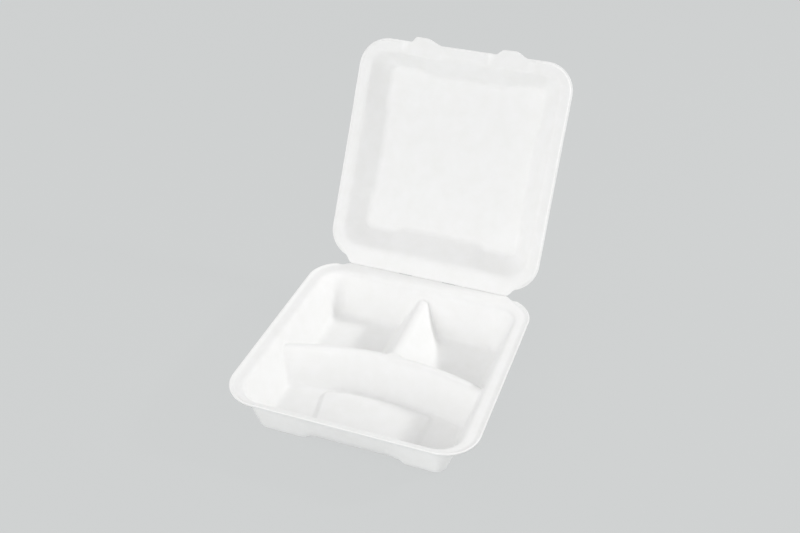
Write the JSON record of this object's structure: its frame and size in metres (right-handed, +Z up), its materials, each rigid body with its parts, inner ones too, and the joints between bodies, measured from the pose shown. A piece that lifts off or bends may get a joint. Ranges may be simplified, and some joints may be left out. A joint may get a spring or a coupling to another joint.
{
  "type": "hinged three-compartment food container",
  "caption": "Square moulded sugarcane-pulp food box: a tray with an arched divider and a short one, and a shallow lid on a pressed fold, shown propped open.",
  "frame": {"origin": "on the table, below the middle of the whole box as it stands with its lid propped open", "axes": "+Z up, +X to the right as seen by someone facing the open front, -Y to the front, +Y towards the lid"},
  "size_m": [0.23, 0.3548, 0.2541],
  "materials": {
    "moulded_pulp": "matt, faintly fibrous, pressed smooth on the inside"
  },
  "bodies": {
    "base": {"tray": "moulded_pulp"},
    "cover": {"lid": "moulded_pulp"}
  },
  "joints": [
    {"name": "lid_fold", "type": "hinge", "parent": "base", "child": "cover", "pos_m": [0, 0.05881, 0.0445], "axis": [1, 0, 0], "range_deg": [-62, 118]}
  ]
}
